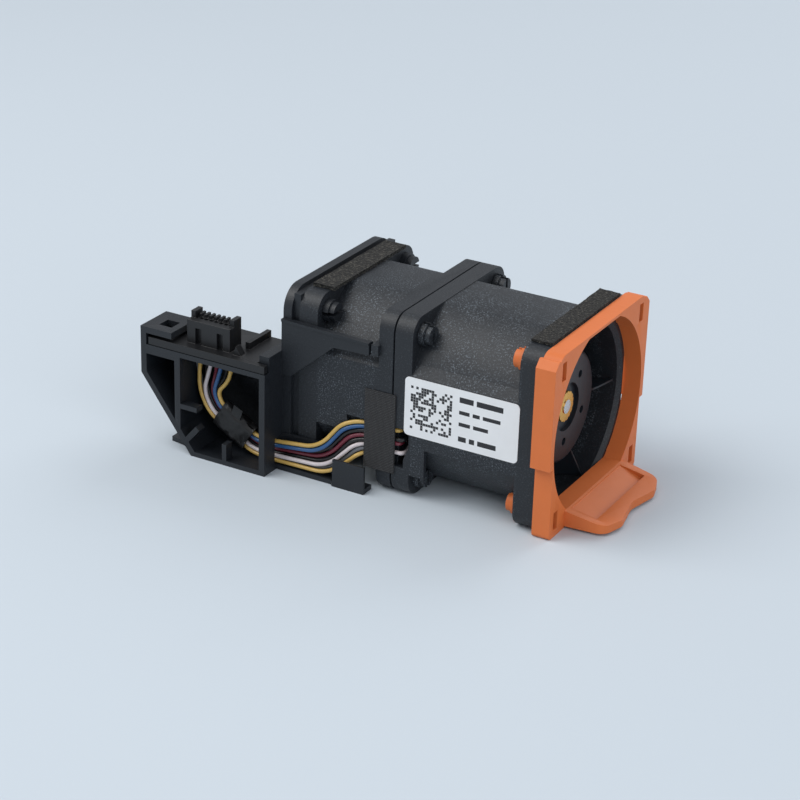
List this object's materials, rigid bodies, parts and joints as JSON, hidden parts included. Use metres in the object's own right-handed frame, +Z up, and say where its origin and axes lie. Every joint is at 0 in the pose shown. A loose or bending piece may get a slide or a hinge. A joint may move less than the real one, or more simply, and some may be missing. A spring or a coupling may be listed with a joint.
{
  "type": "server fan module",
  "caption": "Hot-swap server fan module: counter-rotating fans in series, orange finger-tab pull frame on the intake, rear connector carrier with clipped leads.",
  "frame": {"origin": "in the plane where the two fans meet, on the underside, midway between the sides", "axes": "+X along the rotor axis towards the intake and pull frame, +Z up towards the connector face, +Y away from the lead side"},
  "size_m": [0.105, 0.0498, 0.0409],
  "materials": {
    "fan_frame": "fine spark-eroded texture, near black",
    "impeller": "satin, near black",
    "carrier": "fine spark-eroded texture, near black",
    "pull_frame": "satin orange",
    "connector": "satin black",
    "contacts": "tin-plated spring brass",
    "label": "smooth white film",
    "tape": "woven black cloth",
    "foam": "open-cell foam, dark grey with pale specks",
    "sleeve": "soft black tubing",
    "lead_yellow": "smooth insulation",
    "lead_blue": "smooth insulation",
    "lead_black": "smooth insulation",
    "lead_maroon": "smooth insulation",
    "lead_white": "smooth insulation",
    "lead_grey": "smooth insulation",
    "brass": "turned",
    "bearing_steel": "ground",
    "spring_steel": "drawn",
    "lamination": "stacked laminations",
    "insulator": "natural nylon",
    "copper": "enamelled copper wire",
    "yoke": "drawn steel",
    "magnet": "bonded ferrite",
    "board": "solder mask"
  },
  "bodies": {
    "housing": {"cloth_tape": "tape", "connector_carrier": "carrier", "connector_contacts": "contacts", "connector_housing": "connector", "front_bearing_outer_rings": "bearing_steel", "front_bearing_tube": "brass", "front_circuit_board": "board", "front_coils": "copper", "front_fan_frame": "fan_frame", "front_foam_strip": "foam", "front_lower_insulator": "insulator", "front_stator_core": "lamination", "front_upper_insulator": "insulator", "label_plate": "label", "lead_black_lower": "lead_black", "lead_black_upper": "lead_black", "lead_blue": "lead_blue", "lead_grey": "lead_grey", "lead_maroon": "lead_maroon", "lead_sleeve": "sleeve", "lead_white": "lead_white", "lead_yellow_lower": "lead_yellow", "lead_yellow_upper": "lead_yellow", "pull_frame": "pull_frame", "rear_bearing_outer_rings": "bearing_steel", "rear_bearing_tube": "brass", "rear_circuit_board": "board", "rear_coils": "copper", "rear_fan_frame": "fan_frame", "rear_foam_strip": "foam", "rear_lower_insulator": "insulator", "rear_stator_core": "lamination", "rear_upper_insulator": "insulator"},
    "front_rotor": {"front_bearing_inner_rings": "bearing_steel", "front_impeller": "impeller", "front_magnet_ring": "magnet", "front_preload_spring": "spring_steel", "front_retaining_clip": "spring_steel", "front_rotor_yoke": "yoke", "front_shaft": "bearing_steel", "front_shaft_bush": "brass"},
    "rear_rotor": {"rear_bearing_inner_rings": "bearing_steel", "rear_impeller": "impeller", "rear_magnet_ring": "magnet", "rear_preload_spring": "spring_steel", "rear_retaining_clip": "spring_steel", "rear_rotor_yoke": "yoke", "rear_shaft": "bearing_steel", "rear_shaft_bush": "brass"}
  },
  "joints": [
    {"name": "front_rotor_spin", "type": "hinge", "parent": "housing", "child": "front_rotor", "pos_m": [0, 0, 0.02], "axis": [1, 0, 0], "continuous": true},
    {"name": "rear_rotor_spin", "type": "hinge", "parent": "housing", "child": "rear_rotor", "pos_m": [0, 0, 0.02], "axis": [1, 0, 0], "continuous": true}
  ]
}
